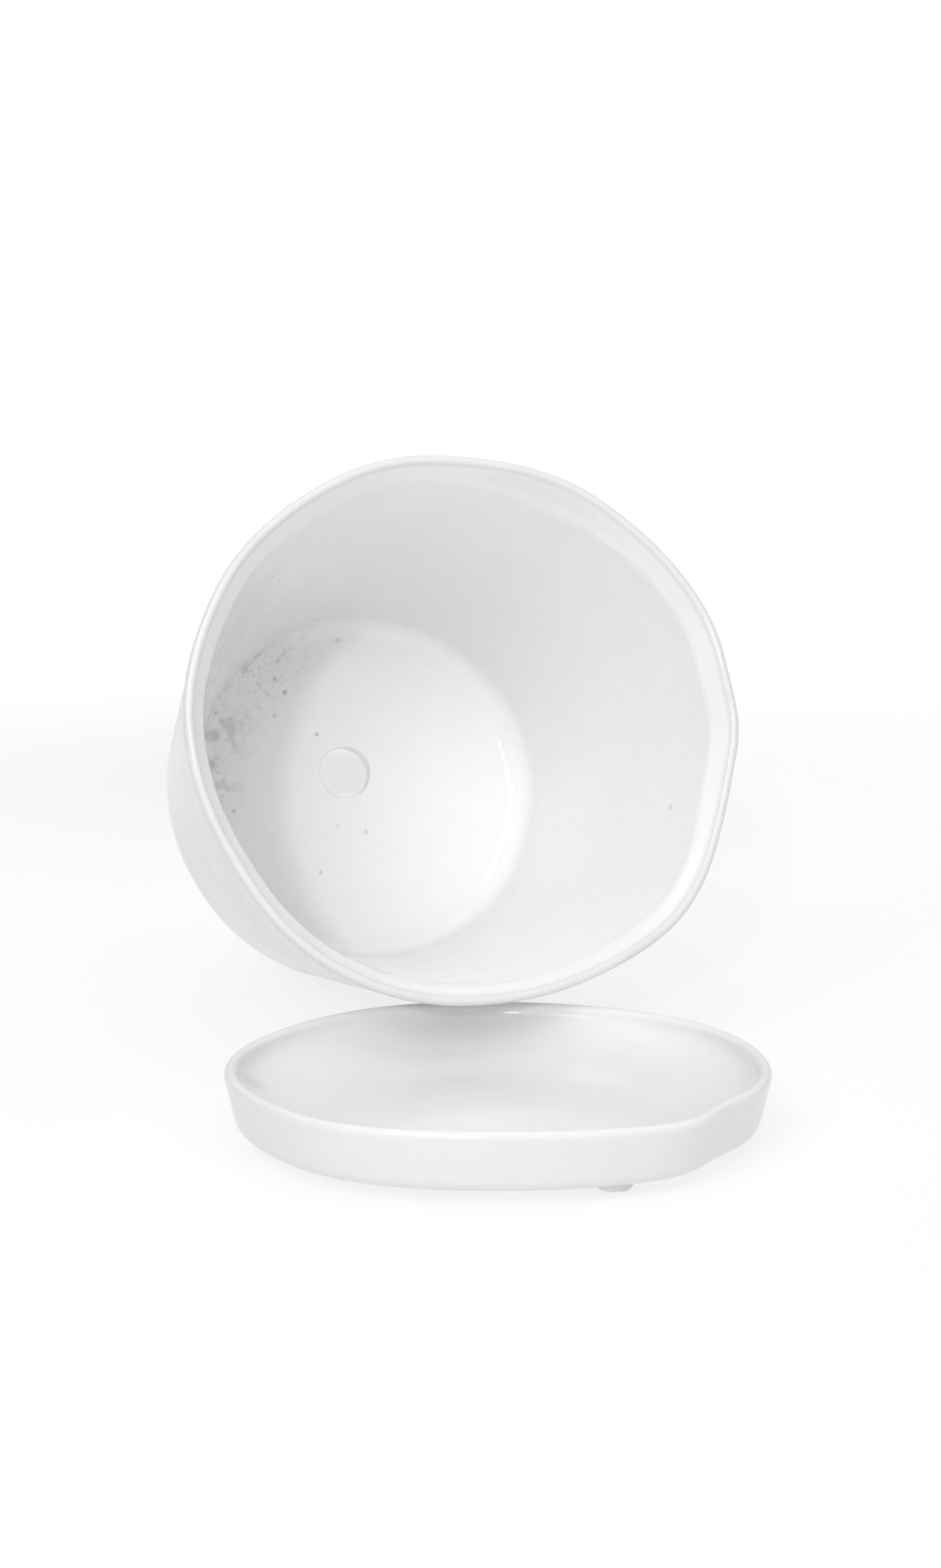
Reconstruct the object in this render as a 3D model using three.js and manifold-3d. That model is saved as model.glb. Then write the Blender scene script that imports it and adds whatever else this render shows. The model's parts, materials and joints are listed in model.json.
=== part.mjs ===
// A hand-formed stoneware plant pot with a drain hole, and its shallow saucer on three stick-on feet.
// The pot lies tipped over: the edge of its base stands on the table, and its wall leans on the
// saucer's back rim with the lip hanging over the saucer.
// Millimetres, +Z up. The saucer's centre is at the origin of its own group, and the finished group
// is moved so that the middle of its footprint is at the origin.

import * as THREE from 'three';
import { mergeVertices } from 'three/addons/utils/BufferGeometryUtils.js';
import Module from 'manifold-3d';

const wasm = await Module();
wasm.setup();

// Pot, upright in its own frame: the foot ring stands on z = 0 and the mouth is at the top.
const POT_HEIGHT = 134;
const POT_RIM_RADIUS = 75;
const POT_BASE_RADIUS = 57.8;
const POT_WALL_AT_RIM = 5;
const POT_WALL_AT_BASE = 8.5;
const POT_FLOOR = 7;
const POT_BASE_ROUNDING = 4;
const POT_FLOOR_FILLET = 8;
const LIP_ROUNDING = 1.2;
const LIP_BEVEL_DEPTH = 7;
const FOOT_RING_WIDTH = 7;
const FOOT_RING_RECESS = 1.5;
const DRAIN_HOLE_RADIUS = 7.6;
const DRAIN_HOLE_OFF_CENTRE = 6.8;
const DRAIN_HOLE_DIRECTION = 128;

// Saucer. Its inside leaves room all round for the pot's base.
const SAUCER_HEIGHT = 14.9;
const SAUCER_ROOM_ROUND_POT = 6.4;
const SAUCER_LIP_ROUNDING = 1.6;
const SAUCER_TAPER = 2.9;
const SAUCER_FLOOR = 4.5;
const SAUCER_COVE_WIDTH = 28;
const SAUCER_BASE_ROUNDING = 4;
const SAUCER_INSIDE_RADIUS = POT_BASE_RADIUS + SAUCER_ROOM_ROUND_POT;
const SAUCER_RIM_RADIUS = SAUCER_INSIDE_RADIUS + 2 * SAUCER_LIP_ROUNDING;
const SAUCER_BASE_RADIUS = SAUCER_RIM_RADIUS - SAUCER_TAPER;

// Stick-on feet.
const FOOT_HEIGHT = 2.7;
const FOOT_TOP_RADIUS = 5;
const FOOT_SOLE_RADIUS = 4.1;
const FOOT_FROM_EDGE = 1;
const FOOT_SOLE_ROUNDING = 0.5;
const FIRST_FOOT_DIRECTION = -60.5;
const FOOT_NAMES = ['foot_front_right', 'foot_back_right', 'foot_left'];

// How the pot lies.
const POT_YAW = 15.5;
const MOUTH_SIDEWAYS = -7.7;
const LIP_OVERHANG = 21.5;
const TOUCH_GAP = 0.3;

// Soft dents and bulges of the hand-formed walls: direction in degrees, millimetres outwards at the
// rim, and how wide the dent spreads to each side in degrees.
const POT_DENTS = [
  [-152, -1.4, 18],
  [-85, -0.9, 14],
  [-42, 2.5, 16],
  [-2, 1.5, 9],
  [20, 0.8, 9],
  [48, -0.9, 12],
  [80, -2.2, 26],
  [122, -0.6, 12],
  [172, 0.6, 12],
];
const POT_RIM_WAVES = [
  [-60, 0.8, 20],
  [-22, -0.7, 12],
  [12, 0.7, 10],
  [100, -0.6, 25],
  [170, 0.8, 20],
];
const POT_DENT_SHARE_AT_BASE = 0.4;
const SAUCER_DENTS = [
  [-128, 1.4, 14],
  [-90, -1.9, 16],
  [-51, 2.2, 11],
  [-34, -1.4, 9],
  [38, 1.4, 20],
  [114, 1.4, 14],
  [148, -1.3, 16],
];
const SAUCER_RIM_WAVES = [
  [-92, 0.35, 18],
  [-52, -0.4, 12],
  [140, 0.3, 16],
];
const SAUCER_DENT_SHARE_AT_BASE = 0.85;

const AROUND = 72;
const AROUND_FOOT = 24;
const degrees = THREE.MathUtils.degToRad;

// Sum of soft bumps around a full turn, each fading as a bell curve.
function sumOfBumps(bumps, angle) {
  return bumps.reduce((sum, [direction, size, spread]) => {
    const away = THREE.MathUtils.euclideanModulo(angle - degrees(direction) + Math.PI, 2 * Math.PI) - Math.PI;
    return sum + size * Math.exp(-((away / degrees(spread)) ** 2));
  }, 0);
}

function arc(centreRadius, centreHeight, radius, from, to, steps) {
  return Array.from({ length: steps + 1 }, (_, i) => {
    const angle = from + ((to - from) * i) / steps;
    return new THREE.Vector2(centreRadius + radius * Math.cos(angle), centreHeight + radius * Math.sin(angle));
  });
}

// Straight tapering wall seen in section: its radius at a height, and its lean from upright.
function wallLine(lowRadius, highRadius, height) {
  const slope = (highRadius - lowRadius) / height;
  return { radiusAt: (z) => lowRadius + slope * z, lean: Math.atan(slope) };
}

const potWall = wallLine(POT_BASE_RADIUS, POT_RIM_RADIUS, POT_HEIGHT);
const potInside = wallLine(POT_BASE_RADIUS - POT_WALL_AT_BASE, POT_RIM_RADIUS - POT_WALL_AT_RIM, POT_HEIGHT);
const saucerWall = wallLine(SAUCER_BASE_RADIUS, SAUCER_RIM_RADIUS, SAUCER_HEIGHT);

// How far a hand-formed wall is pushed out at a direction and height, and how far its rim is raised.
function potPush(angle, z) {
  const up = THREE.MathUtils.smoothstep(z, 0, POT_HEIGHT);
  return sumOfBumps(POT_DENTS, angle) * THREE.MathUtils.lerp(POT_DENT_SHARE_AT_BASE, 1, up);
}

function potRaise(angle, z) {
  return sumOfBumps(POT_RIM_WAVES, angle) * THREE.MathUtils.smoothstep(z, POT_HEIGHT / 2, POT_HEIGHT);
}

function saucerPush(angle, z) {
  const share = THREE.MathUtils.lerp(SAUCER_DENT_SHARE_AT_BASE, 1, z / SAUCER_HEIGHT);
  return sumOfBumps(SAUCER_DENTS, angle) * share;
}

function saucerRaise(angle, z) {
  return sumOfBumps(SAUCER_RIM_WAVES, angle) * THREE.MathUtils.smoothstep(z, SAUCER_FLOOR, SAUCER_HEIGHT);
}

// Turns a section round the Z axis, then pushes every point of it by the wall's dents. Points nearer
// the axis than the wall move less, so floors stay whole.
function handFormed(section, wall, push, raise) {
  const geometry = new THREE.LatheGeometry(section, AROUND);
  geometry.rotateX(Math.PI / 2);
  const points = geometry.attributes.position;
  for (let i = 0; i < points.count; i += 1) {
    const x = points.getX(i);
    const y = points.getY(i);
    const z = points.getZ(i);
    const angle = Math.atan2(y, x);
    const stretch = 1 + push(angle, z) / wall.radiusAt(z);
    points.setXYZ(i, x * stretch, y * stretch, z + raise(angle, z));
  }
  return closedGeometry(geometry);
}

// One closed mesh: shared corners merged and the slivers at the poles dropped.
function closedGeometry(geometry) {
  geometry.deleteAttribute('normal');
  geometry.deleteAttribute('uv');
  const merged = mergeVertices(geometry, 1e-4);
  const corners = merged.index.array;
  const kept = [];
  for (let i = 0; i < corners.length; i += 3) {
    const [a, b, c] = corners.slice(i, i + 3);
    if (a !== b && b !== c && c !== a) {
      kept.push(a, b, c);
    }
  }
  merged.setIndex(kept);
  return merged;
}

function toSolid(geometry) {
  const vertProperties = new Float32Array(geometry.attributes.position.array);
  const triVerts = new Uint32Array(geometry.index.array);
  return new wasm.Manifold(new wasm.Mesh({ numProp: 3, vertProperties, triVerts }));
}

function toGeometry(solid) {
  const mesh = solid.getMesh();
  const geometry = new THREE.BufferGeometry();
  geometry.setAttribute('position', new THREE.BufferAttribute(mesh.vertProperties, 3));
  geometry.setIndex(new THREE.BufferAttribute(mesh.triVerts, 1));
  geometry.computeVertexNormals();
  return geometry;
}

// Rounded top edge of a wall, from its outer face over to a straight bevel that runs down to a point
// on the inner face.
function lipArc(wall, height, rounding, bevelEnd, steps) {
  const centre = new THREE.Vector2(
    wall.radiusAt(height - rounding) - rounding / Math.cos(wall.lean),
    height - rounding,
  );
  const toEnd = bevelEnd.clone().sub(centre);
  const last = Math.atan2(toEnd.y, toEnd.x) + 2 * Math.PI - Math.acos(rounding / toEnd.length());
  return arc(centre.x, centre.y, rounding, -wall.lean, last, steps);
}

// Rounded bottom edge of a wall, from the underside up to the outer face.
function baseArc(wall, rounding, steps) {
  const centreRadius = wall.radiusAt(rounding) - rounding / Math.cos(wall.lean);
  return arc(centreRadius, rounding, rounding, -Math.PI / 2, -wall.lean, steps);
}

function potSection() {
  const bevelHeight = POT_HEIGHT - LIP_BEVEL_DEPTH;
  const bevelEnd = new THREE.Vector2(potInside.radiusAt(bevelHeight), bevelHeight);
  const filletHeight = POT_FLOOR + POT_FLOOR_FILLET;
  const filletRadius = potInside.radiusAt(filletHeight) - POT_FLOOR_FILLET / Math.cos(potInside.lean);
  const base = baseArc(potWall, POT_BASE_ROUNDING, 6);
  const ringInner = base[0].x - FOOT_RING_WIDTH;
  return [
    new THREE.Vector2(0, FOOT_RING_RECESS),
    new THREE.Vector2(ringInner - FOOT_RING_RECESS, FOOT_RING_RECESS),
    new THREE.Vector2(ringInner, 0),
    ...base,
    ...lipArc(potWall, POT_HEIGHT, LIP_ROUNDING, bevelEnd, 8),
    bevelEnd,
    ...arc(filletRadius, filletHeight, POT_FLOOR_FILLET, -potInside.lean, -Math.PI / 2, 6),
    new THREE.Vector2(0, POT_FLOOR),
  ];
}

// The saucer's inside is a broad cove: a quarter of an ellipse from the flat floor to the lip.
function saucerSection() {
  const coveTop = new THREE.Vector2(SAUCER_INSIDE_RADIUS, SAUCER_HEIGHT - SAUCER_LIP_ROUNDING);
  const flatRadius = coveTop.x - SAUCER_COVE_WIDTH;
  const lip = arc(
    coveTop.x + SAUCER_LIP_ROUNDING,
    coveTop.y,
    SAUCER_LIP_ROUNDING,
    -saucerWall.lean,
    Math.PI,
    8,
  );
  const cove = Array.from({ length: 8 }, (_, i) => {
    const angle = (Math.PI / 2) * (1 - (i + 1) / 8);
    return new THREE.Vector2(
      flatRadius + SAUCER_COVE_WIDTH * Math.sin(angle),
      SAUCER_FLOOR + (coveTop.y - SAUCER_FLOOR) * (1 - Math.cos(angle)),
    );
  });
  return [
    new THREE.Vector2(0, 0),
    ...baseArc(saucerWall, SAUCER_BASE_ROUNDING, 5),
    ...lip,
    ...cove,
    new THREE.Vector2(0, SAUCER_FLOOR),
  ];
}

function drainHole() {
  const length = 3 * POT_FLOOR;
  const hole = new THREE.CylinderGeometry(DRAIN_HOLE_RADIUS, DRAIN_HOLE_RADIUS, length, 32);
  hole.rotateX(Math.PI / 2);
  const direction = degrees(DRAIN_HOLE_DIRECTION);
  hole.translate(DRAIN_HOLE_OFF_CENTRE * Math.cos(direction), DRAIN_HOLE_OFF_CENTRE * Math.sin(direction), 0);
  return toSolid(closedGeometry(hole));
}

const whiteGlaze = { color: 0xe9ebea, roughness: 0.18, metalness: 0 };
const clearRubber = { color: 0xc9cbc6, roughness: 0.45, metalness: 0 };

function namedMesh(name, geometry, finish) {
  const mesh = new THREE.Mesh(geometry, new THREE.MeshStandardMaterial(finish));
  mesh.name = name;
  return mesh;
}

function makePot() {
  const body = toSolid(handFormed(potSection(), potWall, potPush, potRaise));
  return namedMesh('pot', toGeometry(body.subtract(drainHole())), whiteGlaze);
}

function makeSaucer() {
  const body = toSolid(handFormed(saucerSection(), saucerWall, saucerPush, saucerRaise));
  const saucer = namedMesh('saucer', toGeometry(body), whiteGlaze);
  saucer.position.z = FOOT_HEIGHT + TOUCH_GAP;
  return saucer;
}

// One stick-on foot: a low button with sloped sides and a slightly rounded sole edge.
function makeFoot(name, direction) {
  const section = [
    new THREE.Vector2(0, 0),
    new THREE.Vector2(FOOT_SOLE_RADIUS - FOOT_SOLE_ROUNDING, 0),
    new THREE.Vector2(FOOT_SOLE_RADIUS, FOOT_SOLE_ROUNDING / 2),
    new THREE.Vector2(FOOT_TOP_RADIUS, FOOT_HEIGHT),
    new THREE.Vector2(0, FOOT_HEIGHT),
  ];
  const geometry = new THREE.LatheGeometry(section, AROUND_FOOT);
  geometry.rotateX(Math.PI / 2);
  const foot = namedMesh(name, toGeometry(toSolid(closedGeometry(geometry))), clearRubber);
  const distance = SAUCER_BASE_RADIUS - SAUCER_BASE_ROUNDING - FOOT_FROM_EDGE - FOOT_TOP_RADIUS;
  foot.position.set(distance * Math.cos(degrees(direction)), distance * Math.sin(degrees(direction)), 0);
  return foot;
}

// Points on the outer half of the saucer's lip, where the pot can touch it.
function saucerLipPoints() {
  const ring = [];
  for (let turn = 0; turn < 180; turn += 1) {
    const angle = degrees(turn);
    for (let tilt = 0; tilt <= 180; tilt += 15) {
      const outwards = SAUCER_LIP_ROUNDING * (Math.cos(degrees(tilt)) - 1);
      const radius = SAUCER_RIM_RADIUS + saucerPush(angle, SAUCER_HEIGHT) + outwards;
      const below = SAUCER_LIP_ROUNDING * (1 - Math.sin(degrees(tilt)));
      const height = SAUCER_HEIGHT + saucerRaise(angle, SAUCER_HEIGHT) - below;
      ring.push(
        new THREE.Vector3(radius * Math.cos(angle), radius * Math.sin(angle), FOOT_HEIGHT + TOUCH_GAP + height),
      );
    }
  }
  return ring;
}

// Smallest distance from the saucer's lip to the wall of a pot placed in the world.
function gapToPot(pot, lipPoints) {
  pot.updateWorldMatrix(true, false);
  const toPot = pot.matrixWorld.clone().invert();
  let gap = Infinity;
  for (const point of lipPoints) {
    const local = point.clone().applyMatrix4(toPot);
    if (local.z > 0 && local.z < POT_HEIGHT) {
      const angle = Math.atan2(local.y, local.x);
      const wall = potWall.radiusAt(local.z) + potPush(angle, local.z);
      gap = Math.min(gap, (Math.hypot(local.x, local.y) - wall) * Math.cos(potWall.lean));
    }
  }
  return gap;
}

// Lays the pot at a lift of its axis above level: base edge on the table, lip hanging over the
// saucer's back rim by the overhang.
function layPot(turned, tipped, pot, lift) {
  turned.position.set(0, 0, 0);
  tipped.rotation.x = Math.PI / 2 - lift;
  const box = new THREE.Box3().setFromObject(turned, true);
  const mouthCentre = pot.localToWorld(new THREE.Vector3(0, 0, POT_HEIGHT));
  const lowestLip = pot.localToWorld(new THREE.Vector3(0, -POT_RIM_RADIUS, POT_HEIGHT));
  turned.position.set(
    MOUTH_SIDEWAYS - mouthCentre.x,
    SAUCER_RIM_RADIUS - LIP_OVERHANG - lowestLip.y,
    -box.min.z,
  );
  turned.updateWorldMatrix(true, true);
}

// Tips the pot down until its wall rests against the saucer's rim.
function restPotOnSaucer(pot) {
  const tipped = new THREE.Group();
  tipped.add(pot);
  const turned = new THREE.Group();
  turned.add(tipped);
  turned.rotation.z = degrees(POT_YAW);
  const lipPoints = saucerLipPoints();
  let low = 0;
  let high = Math.PI / 3;
  for (let i = 0; i < 30; i += 1) {
    const middle = (low + high) / 2;
    layPot(turned, tipped, pot, middle);
    if (gapToPot(pot, lipPoints) > TOUCH_GAP) {
      high = middle;
    } else {
      low = middle;
    }
  }
  layPot(turned, tipped, pot, high);
  return turned;
}

const object = new THREE.Group();
object.add(makeSaucer());
FOOT_NAMES.forEach((name, i) => {
  object.add(makeFoot(name, FIRST_FOOT_DIRECTION + (360 / FOOT_NAMES.length) * i));
});
object.add(restPotOnSaucer(makePot()));

const footprint = new THREE.Box3().setFromObject(object, true).getCenter(new THREE.Vector3());
object.position.set(-footprint.x, -footprint.y, 0);

export default object;
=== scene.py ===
# %% [markdown]
# # A stoneware plant pot tipped against its saucer
#
# The object is a hand-formed pot with a drain hole, its shallow saucer, and three soft stick-on feet
# under the saucer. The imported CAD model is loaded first. It fixes where everything is and how big it
# is, and the pieces below are finer versions of its nodes in the same places. All sizes are metres.

# %% Load the frame
import json
import math

import bmesh
import bpy
from mathutils import Matrix, Vector


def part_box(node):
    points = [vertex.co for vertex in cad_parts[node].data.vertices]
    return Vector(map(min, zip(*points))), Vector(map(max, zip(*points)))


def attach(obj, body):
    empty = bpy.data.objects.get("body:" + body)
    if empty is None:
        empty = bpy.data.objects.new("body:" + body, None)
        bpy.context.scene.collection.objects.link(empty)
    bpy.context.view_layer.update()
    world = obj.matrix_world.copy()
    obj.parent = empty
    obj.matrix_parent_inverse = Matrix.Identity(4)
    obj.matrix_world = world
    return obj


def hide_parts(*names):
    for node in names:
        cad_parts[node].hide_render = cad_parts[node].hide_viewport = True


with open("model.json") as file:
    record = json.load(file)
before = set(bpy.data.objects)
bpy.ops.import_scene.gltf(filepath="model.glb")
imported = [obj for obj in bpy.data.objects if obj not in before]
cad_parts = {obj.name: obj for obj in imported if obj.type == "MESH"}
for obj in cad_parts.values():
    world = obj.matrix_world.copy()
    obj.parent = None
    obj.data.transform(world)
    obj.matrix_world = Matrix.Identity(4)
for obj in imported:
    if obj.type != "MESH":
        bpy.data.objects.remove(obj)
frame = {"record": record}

scene = bpy.context.scene
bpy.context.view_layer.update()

# %% [markdown]
# ## Camera
#
# A longer lens from a little under a metre keeps the tipped mouth round and the saucer flat. The
# camera looks down at the table by nine degrees. The Standard view keeps whites white, which a
# high-key picture of white pottery needs, where the default film curve would grey them.

# %% Camera
LENS_MM = 72
SENSOR_MM = 36
CAMERA_PLACE = (0.0084, -0.8268, 0.2092)
LOOK_DOWN = math.radians(9.16)

camera_data = bpy.data.cameras.new("studio camera")
camera_data.lens = LENS_MM
camera_data.sensor_width = SENSOR_MM
camera = bpy.data.objects.new("studio camera", camera_data)
camera.location = CAMERA_PLACE
camera.rotation_euler = (math.pi / 2 - LOOK_DOWN, 0, 0)
scene.collection.objects.link(camera)
scene.camera = camera
scene.view_settings.view_transform = "Standard"
print("camera at", CAMERA_PLACE, "looking down by", round(math.degrees(LOOK_DOWN), 2), "degrees")

# %% [markdown]
# ## Node trees written as sums
#
# Shapes and glazes below are node trees. Wiring Math nodes by hand is slow to read, so a small class
# wraps a socket: an arithmetic sign between two wires adds the Math node for it. Every other node
# comes from one function, which sets the node's settings first and then fills its sockets.

# %% A socket that does arithmetic
class Wire:
    """One output of a node tree. Python's arithmetic signs on it add Math nodes."""

    def __init__(self, tree, socket):
        self.tree = tree
        self.socket = socket

    def output(self, name):
        return Wire(self.tree, find_socket(self.socket.node.outputs, name))

    def maths(self, operation, *operands):
        return add_node(self.tree, "ShaderNodeMath", {"operation": operation}, dict(enumerate(operands)))

    def __add__(self, other):
        return self.maths("ADD", self, other)

    def __radd__(self, other):
        return self.maths("ADD", other, self)

    def __sub__(self, other):
        return self.maths("SUBTRACT", self, other)

    def __rsub__(self, other):
        return self.maths("SUBTRACT", other, self)

    def __mul__(self, other):
        return self.maths("MULTIPLY", self, other)

    def __rmul__(self, other):
        return self.maths("MULTIPLY", other, self)

    def __truediv__(self, other):
        return self.maths("DIVIDE", self, other)

    def __rtruediv__(self, other):
        return self.maths("DIVIDE", other, self)

    def of(self, function):
        """A function of one value, such as COSINE or FLOOR."""
        return self.maths(function, self)

    def larger(self, other):
        return self.maths("MAXIMUM", self, other)

    def smooth_step(self, start, end, low=0.0, high=1.0):
        """Goes from low to high in a soft S as this value goes from start to end."""
        return add_node(
            self.tree,
            "ShaderNodeMapRange",
            {"interpolation_type": "SMOOTHSTEP"},
            {"Value": self, "From Min": start, "From Max": end, "To Min": low, "To Max": high},
        )


# %% Any other node
def find_socket(sockets, name):
    """A socket by its number, or the one in use that has this name."""
    if isinstance(name, int):
        return sockets[name]
    return next(socket for socket in sockets if socket.enabled and socket.name == name)


def add_node(tree, kind, settings=None, values=None, output=None):
    """Adds a node: its settings first, then a value or a link for each of its inputs."""
    node = tree.nodes.new(kind)
    for name, value in (settings or {}).items():
        setattr(node, name, value)
    for name, value in (values or {}).items():
        socket = find_socket(node.inputs, name)
        if isinstance(value, Wire):
            tree.links.new(value.socket, socket)
        else:
            socket.default_value = value
    if output is not None:
        return Wire(tree, find_socket(node.outputs, output))
    return Wire(tree, next((socket for socket in node.outputs if socket.enabled), None))


# %% Try the class
trial = bpy.data.node_groups.new("trial", "ShaderNodeTree")
trial_value = add_node(trial, "ShaderNodeValue")
trial_result = 1 - trial_value * 2
last_node = trial_result.socket.node
print("1 - value * 2 made", len(trial.nodes) - 1, "Math nodes, the last one a", last_node.operation)
bpy.data.node_groups.remove(trial)

# %% [markdown]
# ## How the pot lies
#
# The pot is easiest to make standing upright on its foot ring, and is then tipped into place. The
# record's foot ring mount says where: its axis points out of the pot's underside, and its point is on
# the highest side of the ring. The tip carries the pot's own up direction to the axis of the mouth.

# %% The pot's tipped frame
FOOT_RING_MIDDLE = 0.0501

ring_mount = next(m for m in frame["record"]["mounts"] if m["name"] == "pot_foot_ring")
mouth_axis = -Vector(ring_mount["axis"]).normalized()
sideways = Vector((-mouth_axis.y, mouth_axis.x, 0)).normalized()
uphill = mouth_axis.cross(sideways)
base_centre = Vector(ring_mount["pos_m"]) - FOOT_RING_MIDDLE * uphill
pot_place = Matrix.Translation(base_centre) @ Matrix((sideways, uphill, mouth_axis)).transposed().to_4x4()

saucer_low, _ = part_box("saucer")
saucer_mount = next(m for m in frame["record"]["mounts"] if m["name"] == "saucer_floor")
saucer_place = Matrix.Translation((saucer_mount["pos_m"][0], saucer_mount["pos_m"][1], saucer_low.z))
print("pot axis is", round(math.degrees(math.asin(mouth_axis.z)), 2), "degrees above level")

# %% [markdown]
# ## Sections
#
# A pot is a round form: one section turned about an axis. The section is drawn as a chain of short
# straight steps and arcs, so that its roundings are true curves: the soft lip, the fillet where the
# wall meets the floor, and the foot ring. Each section point also says whether it is bare clay.

# %% Drawing a section
STEP = 0.0014


def line(start, end):
    """Points from start towards end, without the last one."""
    start, end = Vector(start), Vector(end)
    steps = max(1, round((end - start).length / STEP))
    return [tuple(start.lerp(end, i / steps)) for i in range(steps)]


def arc(centre, radius, start, end, steps=10):
    """Points round a circle from one angle to another, in radians, with both ends."""
    turns = [start + (end - start) * i / steps for i in range(steps + 1)]
    return [(centre[0] + radius * math.cos(turn), centre[1] + radius * math.sin(turn)) for turn in turns]


def bell(distance, spread):
    return math.exp(-((distance / spread) ** 2))


class Wall:
    """A straight tapering wall seen in section."""

    def __init__(self, low, high, height):
        self.low, self.high, self.height = low, high, height
        self.slope = (high - low) / height
        self.lean = math.atan(self.slope)

    def radius(self, z):
        return self.low + self.slope * z


def section_mesh(name, parts):
    """A chain of points as a mesh, radius along X and height along Z. Each part says what it is."""
    points = [point for stretch, bare, inside in parts for point in stretch]
    mesh = bpy.data.meshes.new(name)
    mesh.from_pydata([(x, 0, z) for x, z in points], [(i, i + 1) for i in range(len(points) - 1)], [])
    bare_marks = [bare for stretch, bare, inside in parts for point in stretch]
    inside_marks = [inside for stretch, bare, inside in parts for point in stretch]
    for mark, numbers in {"bare": bare_marks, "inside": inside_marks}.items():
        attribute = mesh.attributes.new(mark, "FLOAT", "POINT")
        attribute.data.foreach_set("value", numbers)
    print(name, len(points), "points")
    return mesh


# %% [markdown]
# ## The pot's section
#
# The wall thickens downwards, as thrown and pressed clay does. The lip is rounded on top and then
# slopes in to the inner wall, which gives the bright band just inside the mouth. A finger run round
# the outside has left a faint bead under the lip. Underneath, a wide foot ring stands proud of a
# shallow recess. The section runs from the drain hole, round the whole wall and back to the hole, so
# the hole's edges are soft too.

# %% The pot's section
POT_HEIGHT = 0.134
POT_FLOOR = 0.007
POT_BASE_ROUNDING = 0.004
POT_FLOOR_FILLET = 0.008
LIP_ROUNDING = 0.0012
LIP_BEVEL_DEPTH = 0.007
FOOT_RING_WIDTH = 0.007
FOOT_RING_RECESS = 0.0015
HOLE_RADIUS = 0.0076
HOLE_EDGE = 0.0008
BEAD = 0.00025
BEAD_BELOW_RIM = 0.0025
BEAD_SPREAD = 0.0018
GROOVE_SHARE = 0.8
GROOVE_BELOW_RIM = 0.0068
GROOVE_SPREAD = 0.0016
LIP_STEPS = 16
BASE_STEPS = 12
FILLET_STEPS = 14
HOLE_EDGE_STEPS = 6

pot_wall = Wall(0.0578, 0.075, POT_HEIGHT)
pot_inside = Wall(0.0493, 0.070, POT_HEIGHT)
print("the pot's wall leans out by", round(math.degrees(pot_wall.lean), 1), "degrees")


def lip_points(wall, height, rounding, bevel_end):
    """The rounded top of a wall, over to a bevel that runs down to a point of the inner face."""
    centre = Vector((wall.radius(height - rounding) - rounding / math.cos(wall.lean), height - rounding))
    to_end = Vector(bevel_end) - centre
    last = math.atan2(to_end.y, to_end.x) + 2 * math.pi - math.acos(rounding / to_end.length)
    return arc(centre, rounding, -wall.lean, last, LIP_STEPS)


def base_points(wall, rounding):
    """The rounded foot of a wall, from the underside up to the outer face."""
    centre = (wall.radius(rounding) - rounding / math.cos(wall.lean), rounding)
    return arc(centre, rounding, -math.pi / 2, -wall.lean, BASE_STEPS)


def bead(z):
    """How far the outside swells just under the lip, and the shallow groove below that."""
    down = POT_HEIGHT - z
    swelling = bell(down - BEAD_BELOW_RIM, BEAD_SPREAD)
    groove = bell(down - GROOVE_BELOW_RIM, GROOVE_SPREAD)
    return BEAD * (swelling - GROOVE_SHARE * groove)


def pot_section():
    bevel_height = POT_HEIGHT - LIP_BEVEL_DEPTH
    bevel_end = (pot_inside.radius(bevel_height), bevel_height)
    fillet_height = POT_FLOOR + POT_FLOOR_FILLET
    fillet_radius = pot_inside.radius(fillet_height) - POT_FLOOR_FILLET / math.cos(pot_inside.lean)
    base = base_points(pot_wall, POT_BASE_ROUNDING)
    lip = lip_points(pot_wall, POT_HEIGHT, LIP_ROUNDING, bevel_end)
    outer = line(base[-1], lip[0])[1:]
    bevel = line(lip[-1], bevel_end)[1:]
    fillet_centre = (fillet_radius, fillet_height)
    fillet = arc(fillet_centre, POT_FLOOR_FILLET, -pot_inside.lean, -math.pi / 2, FILLET_STEPS)
    inner = line(bevel_end, fillet[0])
    ring_outer = base[0]
    ring_inner = (ring_outer[0] - FOOT_RING_WIDTH, 0)
    recess = (ring_inner[0] - FOOT_RING_RECESS, FOOT_RING_RECESS)
    edge = HOLE_RADIUS + HOLE_EDGE
    low_centre = (edge, FOOT_RING_RECESS + HOLE_EDGE)
    top_centre = (edge, POT_FLOOR - HOLE_EDGE)
    hole_low = arc(low_centre, HOLE_EDGE, math.pi, 1.5 * math.pi, HOLE_EDGE_STEPS)
    hole_top = arc(top_centre, HOLE_EDGE, math.pi / 2, math.pi, HOLE_EDGE_STEPS)
    ring = line(ring_inner, ring_outer)
    floor = line(fillet[-1], hole_top[0])[1:]
    hole_wall = [*line(hole_top[-1], hole_low[0])[1:], hole_low[0]]

    outer = [(x + bead(z), z) for x, z in outer]
    top = max(z for x, z in lip)
    over = next(i for i, point in enumerate(lip) if point[1] == top)
    lip = [(x + bead(z) * max(0, 1 - i / over), z) for i, (x, z) in enumerate(lip)]
    return [
        (hole_low, 0, 0),
        (line((edge, FOOT_RING_RECESS), recess)[1:] + line(recess, ring_inner), 0, 0),
        (ring, 1, 0),
        (base + outer, 0, 0),
        (lip, 0, 0),
        (bevel + inner + fillet + floor, 0, 1),
        (hole_top + hole_wall, 0, 1),
    ]


# %% [markdown]
# ## The saucer's section
#
# The saucer has a flat underside, a short flared wall with a round lip, and a broad cove inside that
# sweeps from the flat floor up to the lip: a quarter of an ellipse, so it meets both without a line.
# The middle of the floor has risen a little in the kiln, which leaves a faint valley round it.

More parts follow.
